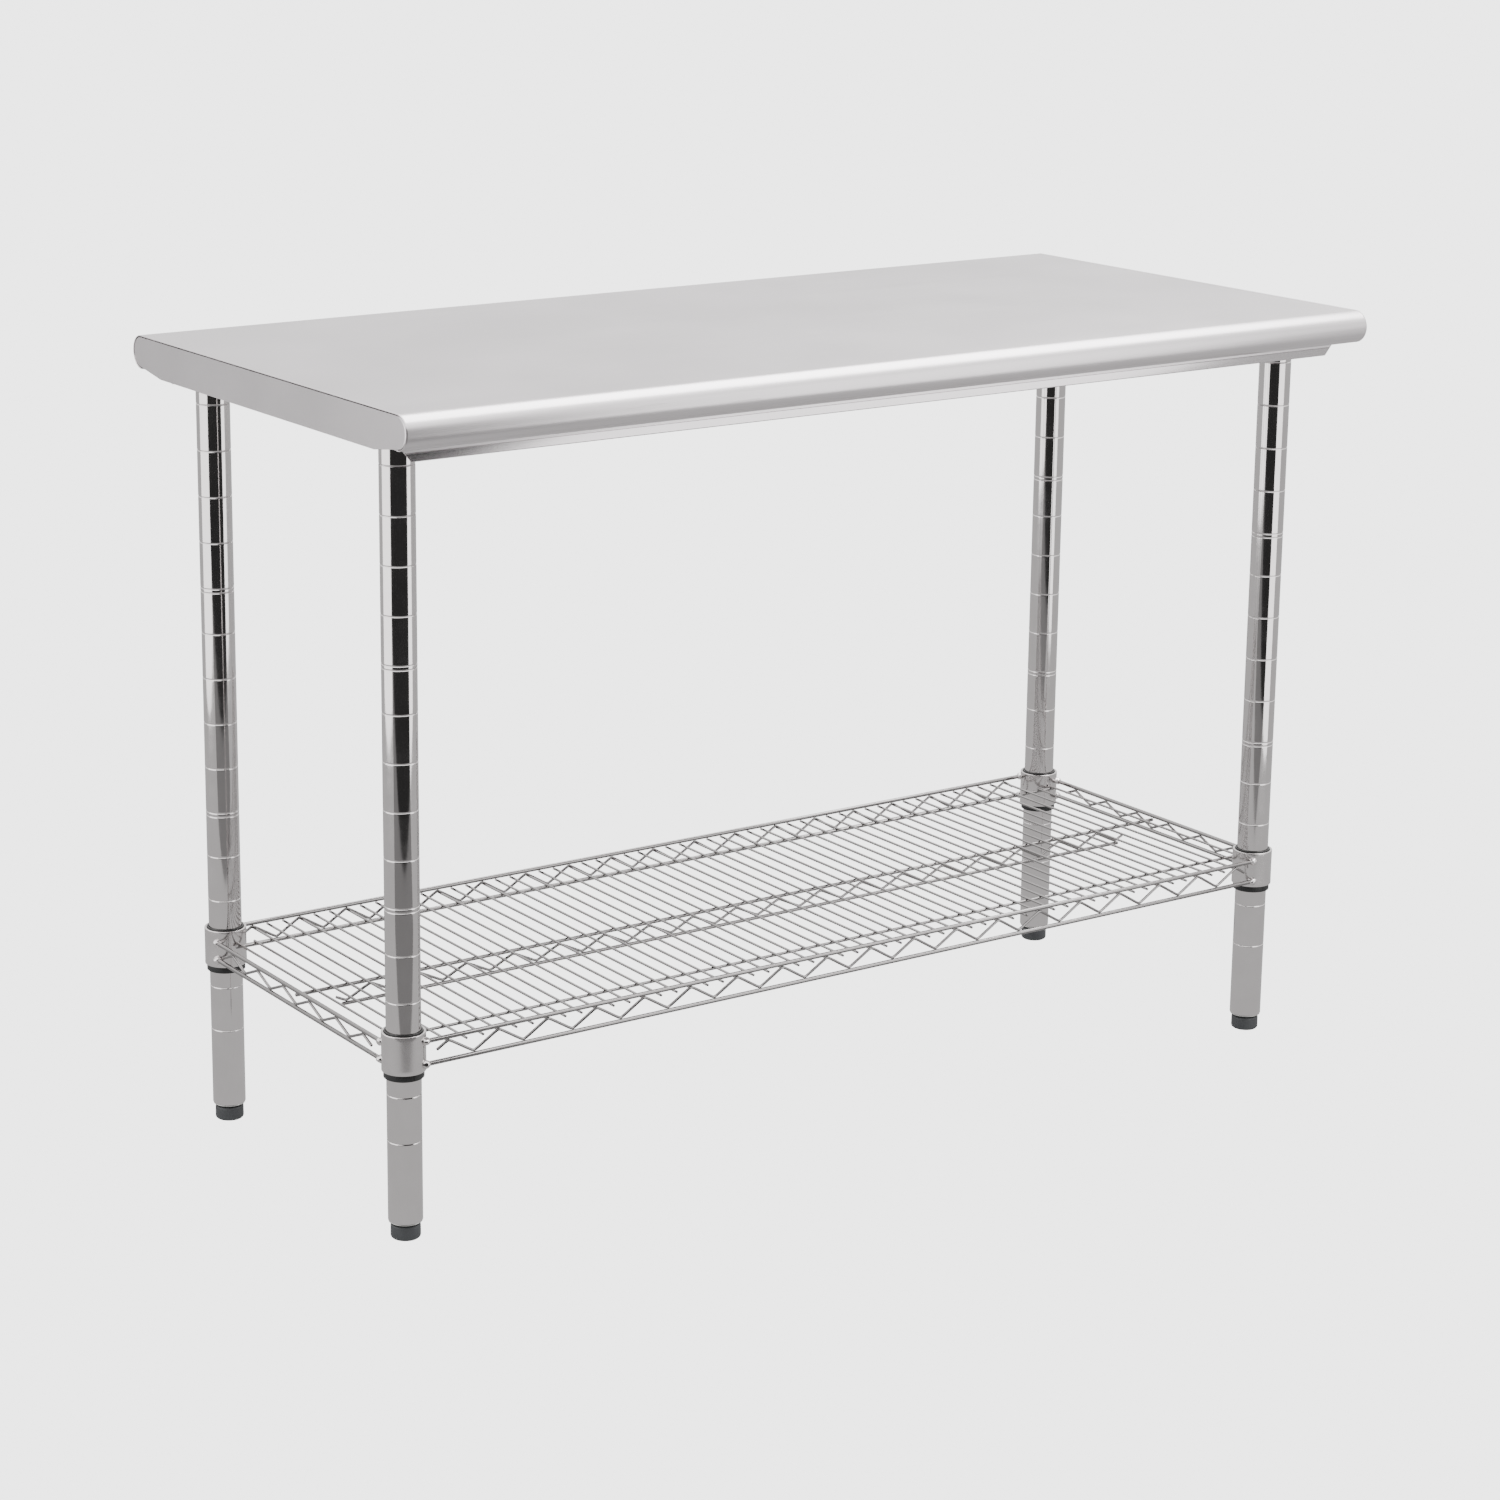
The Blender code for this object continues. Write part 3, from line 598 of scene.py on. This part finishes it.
def buildTrusses():
    bend = shelf["railRadius"] + shelf["zigzag"] + shelf["bendGap"]
    outY, outX = post["y"] + shelf["railOut"], post["x"] + shelf["railOut"]
    longEnd, shortEnd = post["x"] - shelf["standOff"], post["y"] - shelf["standOff"]
    for side, sign in (("front", -1), ("rear", 1)):
        for level, z in (("top", shelf["longTop"]), ("bottom", shelf["longBottom"])):
            surface = rodAlong(0, longEnd, sign * outY, z, shelf["railRadius"])
            finishNode("shelf_" + side + "_" + level + "_rail", [(surface, False, True)], materials["wire"])
        s, z = zigzagLine(shelf["longZigzagEnd"], shelf["longPitch"],
                          shelf["longBottom"] + bend, shelf["longTop"] - bend, 0.0)
        path = np.column_stack([s, np.full_like(s, sign * outY), z])
        finishNode("shelf_" + side + "_zigzag", [(tube(path, shelf["zigzag"], (0, 1, 0), 12), False, True)],
                   materials["wire"])
    for side, sign in (("left", -1), ("right", 1)):
        for level, z in (("top", shelf["shortTop"]), ("bottom", shelf["shortBottom"])):
            surface = rodAlong(1, shortEnd, sign * outX, z, shelf["railRadius"])
            finishNode("shelf_" + side + "_" + level + "_rail", [(surface, False, True)], materials["wire"])
        s, z = zigzagLine(shelf["shortZigzagEnd"], shelf["shortPitch"],
                          shelf["shortBottom"] + bend, shelf["shortTop"] - bend, math.pi)
        path = np.column_stack([np.full_like(s, sign * outX), s, z])
        finishNode("shelf_" + side + "_zigzag", [(tube(path, shelf["zigzag"], (1, 0, 0), 12), False, True)],
                   materials["wire"])
    surface = rodAlong(0, shelf["middleTopEnd"], 0.0, shelf["middleTop"], shelf["middle"])
    finishNode("shelf_middle_top_wire", [(surface, False, True)], materials["wire"])
    surface = rodAlong(0, shelf["middleBottomEnd"], 0.0, shelf["middleBottom"], shelf["middle"])
    finishNode("shelf_middle_bottom_wire", [(surface, False, True)], materials["wire"])
    bend = shelf["middle"] + shelf["zigzag"] + shelf["bendGap"]
    s, z = zigzagLine(shelf["middleZigzagEnd"], shelf["longPitch"],
                      shelf["middleBottom"] + bend, shelf["middleTop"] - bend, math.pi)
    path = np.column_stack([s, np.zeros_like(s), z])
    surface = tube(path, shelf["zigzag"], (0, 1, 0), 12)
    finishNode("shelf_middle_zigzag", [(surface, False, True)], materials["wire"])


def buildSurfaceWires():
    spacing = shelf["longPitch"] / 3
    reachFull = post["y"] + shelf["railOut"] + shelf["wireOver"]
    surfaces = []
    for i in range(-shelf["sideCount"], shelf["sideCount"] + 1):
        if abs(i) > shelf["lastFull"]:
            reach = shelf["carrierY"] + shelf["overCarrier"]
        else:
            reach = reachFull - (shelf["everyThirdShort"] if i % 3 == 0 else 0.0)
        s = np.linspace(-reach, reach, 5)
        path = np.column_stack([np.full_like(s, i * spacing), s, np.full_like(s, shelf["wireZ"])])
        surfaces.append((tube(path, shelf["wire"], (1, 0, 0), 10), False, True))
    end = shelf["sideCount"] * spacing + shelf["carrierOver"]
    z = shelf["wireZ"] - shelf["wire"] - shelf["carrier"] + shelf["carrierSink"]
    for y in (-shelf["carrierY"], shelf["carrierY"]):
        surfaces.append((rodAlong(0, end, y, z, shelf["carrier"]), False, True))
    finishNode("shelf_surface_wires", surfaces, materials["wire"])


weld = {"size": (0.0052, 0.0052, 0.0044), "lump": 0.10, "offCollar": 0.0006}


def beadSurface(centre, size, seed):
    # ellipsoid whose radius wanders: 1 + lump * sin(3 u + a) * cos(2 v + b)
    u = np.linspace(0.12, math.pi - 0.12, 13)[:, None]
    v = np.arange(20)[None, :] * 2 * math.pi / 20
    r = 1 + weld["lump"] * np.sin(3 * u + seed) * np.cos(2 * v + 1.7 * seed)
    shape = np.stack([np.sin(u) * np.cos(v), np.sin(u) * np.sin(v), np.cos(u) + 0 * v], -1)
    return np.asarray(centre) + shape * r[..., None] * np.asarray(size)


def buildWelds():
    surfaces = []
    reach = math.sqrt(collar["radius"] ** 2 - shelf["railOut"] ** 2) + weld["offCollar"]
    for n, (sx, sy) in enumerate(cornerSigns.values()):
        x, y = sx * post["x"], sy * post["y"]
        for k, z in enumerate((shelf["longTop"], shelf["longBottom"])):
            centre = (x - sx * reach, y + sy * shelf["railOut"], z)
            surfaces.append((beadSurface(centre, weld["size"], n + 4 * k), False, True))
        for k, z in enumerate((shelf["shortTop"], shelf["shortBottom"])):
            centre = (x + sx * shelf["railOut"], y - sy * reach, z)
            surfaces.append((beadSurface(centre, weld["size"], n + 4 * k + 9), False, True))
    makePiece("collar_weld_beads", surfaces, materials["weld"], "undershelf", smooth=80.0)


buildTrusses()
buildSurfaceWires()
buildWelds()
print("undershelf made")

for node in ("center_channel", "cross_channel_left", "cross_channel_right"):
    for materialSlot in nodeOf[node].material_slots:
        materialSlot.material = materials["galvanised"]

# studio: a plain floor, an even sky, one key light, two white cards, one dark sheet hung beside the set and a
# painted shadow laid on the floor before it
studio = {
    "floorHalf": 20.0, "floorSeen": 3.6, "floorTone": 0.62, "skySeen": 3.9, "skyLow": 1.35, "skyHigh": 2.3,
    "skyRiseFrom": 0.37, "skyRiseOver": 0.25, "floorDrop": 0.0002,
    "keyPower": 115.0, "keyPlace": (1.35, 0.1, 3.0), "keyAim": (0.0, 0.0, 0.6), "keySize": (2.6, 2.0),
    "cardHeight": 1.6, "white": 2.7, "dark": 0.03, "paintedShadowLevel": 0.24, "paintedShadowLift": 0.001,
    "leftCard": ((-2.70, -0.75), (-2.10, 1.45)), "frontCard": ((0.39, -1.62), (1.33, -1.28)),
    "darkSheet": ((0.36, -1.70), (-3.27, -1.02)), "shadowPatchFarEdge": ((0.15, -0.95), (-1.60, -0.45)),
}


def grey(level):
    return (level, level, level, 1.0)


def stagePlane(name, corners, material):
    mesh = bpy.data.meshes.new(name)
    mesh.from_pydata(corners, [], [(0, 1, 2, 3)])
    mesh.materials.append(material)
    plane = bpy.data.objects.new(name, mesh)
    bpy.context.scene.collection.objects.link(plane)
    return plane


def buildFloor():
    # one pale tone, brighter to the camera than to the metal that mirrors it
    material, g = newMaterial("pale_floor")
    seen = g.node("ShaderNodeLightPath", None, None, "Is Camera Ray")
    strength = seen * (studio["floorSeen"] - studio["floorTone"]) + studio["floorTone"]
    g.finish(Base_Color=grey(0.0), Roughness=0.9, Specular_IOR_Level=0.0, Emission_Color=grey(1.0),
             Emission_Strength=strength)
    h, z = studio["floorHalf"], -studio["floorDrop"]
    stagePlane("floor", [(-h, -h, z), (h, -h, z), (h, h, z), (-h, h, z)], material)


def buildCard(name, corners, level):
    # a plain card that is seen only in reflections
    material, g = newMaterial(name)
    g.finish(Base_Color=grey(0.0), Roughness=1.0, Specular_IOR_Level=0.0, Emission_Color=grey(1.0),
             Emission_Strength=level)
    card = stagePlane(name, corners, material)
    card.visible_camera = False
    card.visible_diffuse = False
    card.visible_shadow = False


def upright(ends):
    (x0, y0), (x1, y1), z = *ends, studio["cardHeight"]
    return [(x0, y0, 0.0), (x1, y1, 0.0), (x1, y1, z), (x0, y0, z)]


def buildCards():
    buildCard("white_card_left", upright(studio["leftCard"]), studio["white"])
    buildCard("white_card_front", upright(studio["frontCard"]), studio["white"])
    buildCard("dark_sheet", upright(studio["darkSheet"]), studio["dark"])
    # a dark patch laid flat on the floor between the dark sheet and the table, seen only in reflections: painted
    # shadow on the floor
    (a, b), (c, d) = studio["darkSheet"], studio["shadowPatchFarEdge"]
    corners = [(*point, studio["paintedShadowLift"]) for point in (a, b, d, c)]
    buildCard("painted_floor_shadow", corners, studio["paintedShadowLevel"])


def buildWorld():
    # even light, a little stronger overhead than at the horizon; the camera sees one pale tone
    world = bpy.data.worlds.new("studio")
    bpy.context.scene.world = world
    world.use_nodes = True
    g = Graph(world)
    heading = g.node("ShaderNodeTexCoord", output="Generated")
    z = g.node("ShaderNodeSeparateXYZ", None, {0: heading}, "Z")
    high = ((z - studio["skyRiseFrom"]) / studio["skyRiseOver"]).largest(0.0).smallest(1.0)
    light = high * (studio["skyHigh"] - studio["skyLow"]) + studio["skyLow"]
    seen = g.node("ShaderNodeLightPath", None, None, "Is Camera Ray")
    strength = light + seen * (light * -1.0 + studio["skySeen"])
    background = g.node("ShaderNodeBackground", None, {"Color": grey(1.0), "Strength": strength})
    out = g.tree.nodes.new("ShaderNodeOutputWorld")
    g.tree.links.new(background.socket, out.inputs["Surface"])


def buildKey():
    light = bpy.data.lights.new("key", "AREA")
    light.shape = "RECTANGLE"
    light.size, light.size_y = studio["keySize"]
    light.energy = studio["keyPower"]
    key = bpy.data.objects.new("key", light)
    key.location = studio["keyPlace"]
    key.rotation_euler = (Vector(studio["keyAim"]) - key.location).to_track_quat("-Z", "Y").to_euler()
    bpy.context.scene.collection.objects.link(key)


buildFloor()
buildCards()
buildWorld()
buildKey()

view = {
    "place": (-2.2958, -3.2253, 1.4982), "yaw": 33.447, "pitch": -13.603, "roll": 0.273,
    "lens": 85.73, "sensor": 36.0, "shiftX": 0.0733, "shiftY": -0.0853, "nearest": 0.05, "farthest": 100.0,
}


def buildCamera():
    yaw, pitch, roll = (math.radians(view[k]) for k in ("yaw", "pitch", "roll"))
    forward = Vector((math.sin(yaw) * math.cos(pitch), math.cos(yaw) * math.cos(pitch), math.sin(pitch)))
    right = forward.cross(Vector((0, 0, 1))).normalized()
    up = right.cross(forward)
    tiltedRight = right * math.cos(roll) + up * math.sin(roll)
    tiltedUp = up * math.cos(roll) - right * math.sin(roll)
    data = bpy.data.cameras.new("camera")
    data.lens, data.sensor_width = view["lens"], view["sensor"]
    data.shift_x, data.shift_y = view["shiftX"], view["shiftY"]
    data.clip_start, data.clip_end = view["nearest"], view["farthest"]
    camera = bpy.data.objects.new("camera", data)
    turn = Matrix((tiltedRight, tiltedUp, -forward)).transposed().to_4x4()
    camera.matrix_world = Matrix.Translation(view["place"]) @ turn
    bpy.context.scene.collection.objects.link(camera)
    bpy.context.scene.camera = camera


buildCamera()
print("studio made")

bpy.context.view_layer.update()
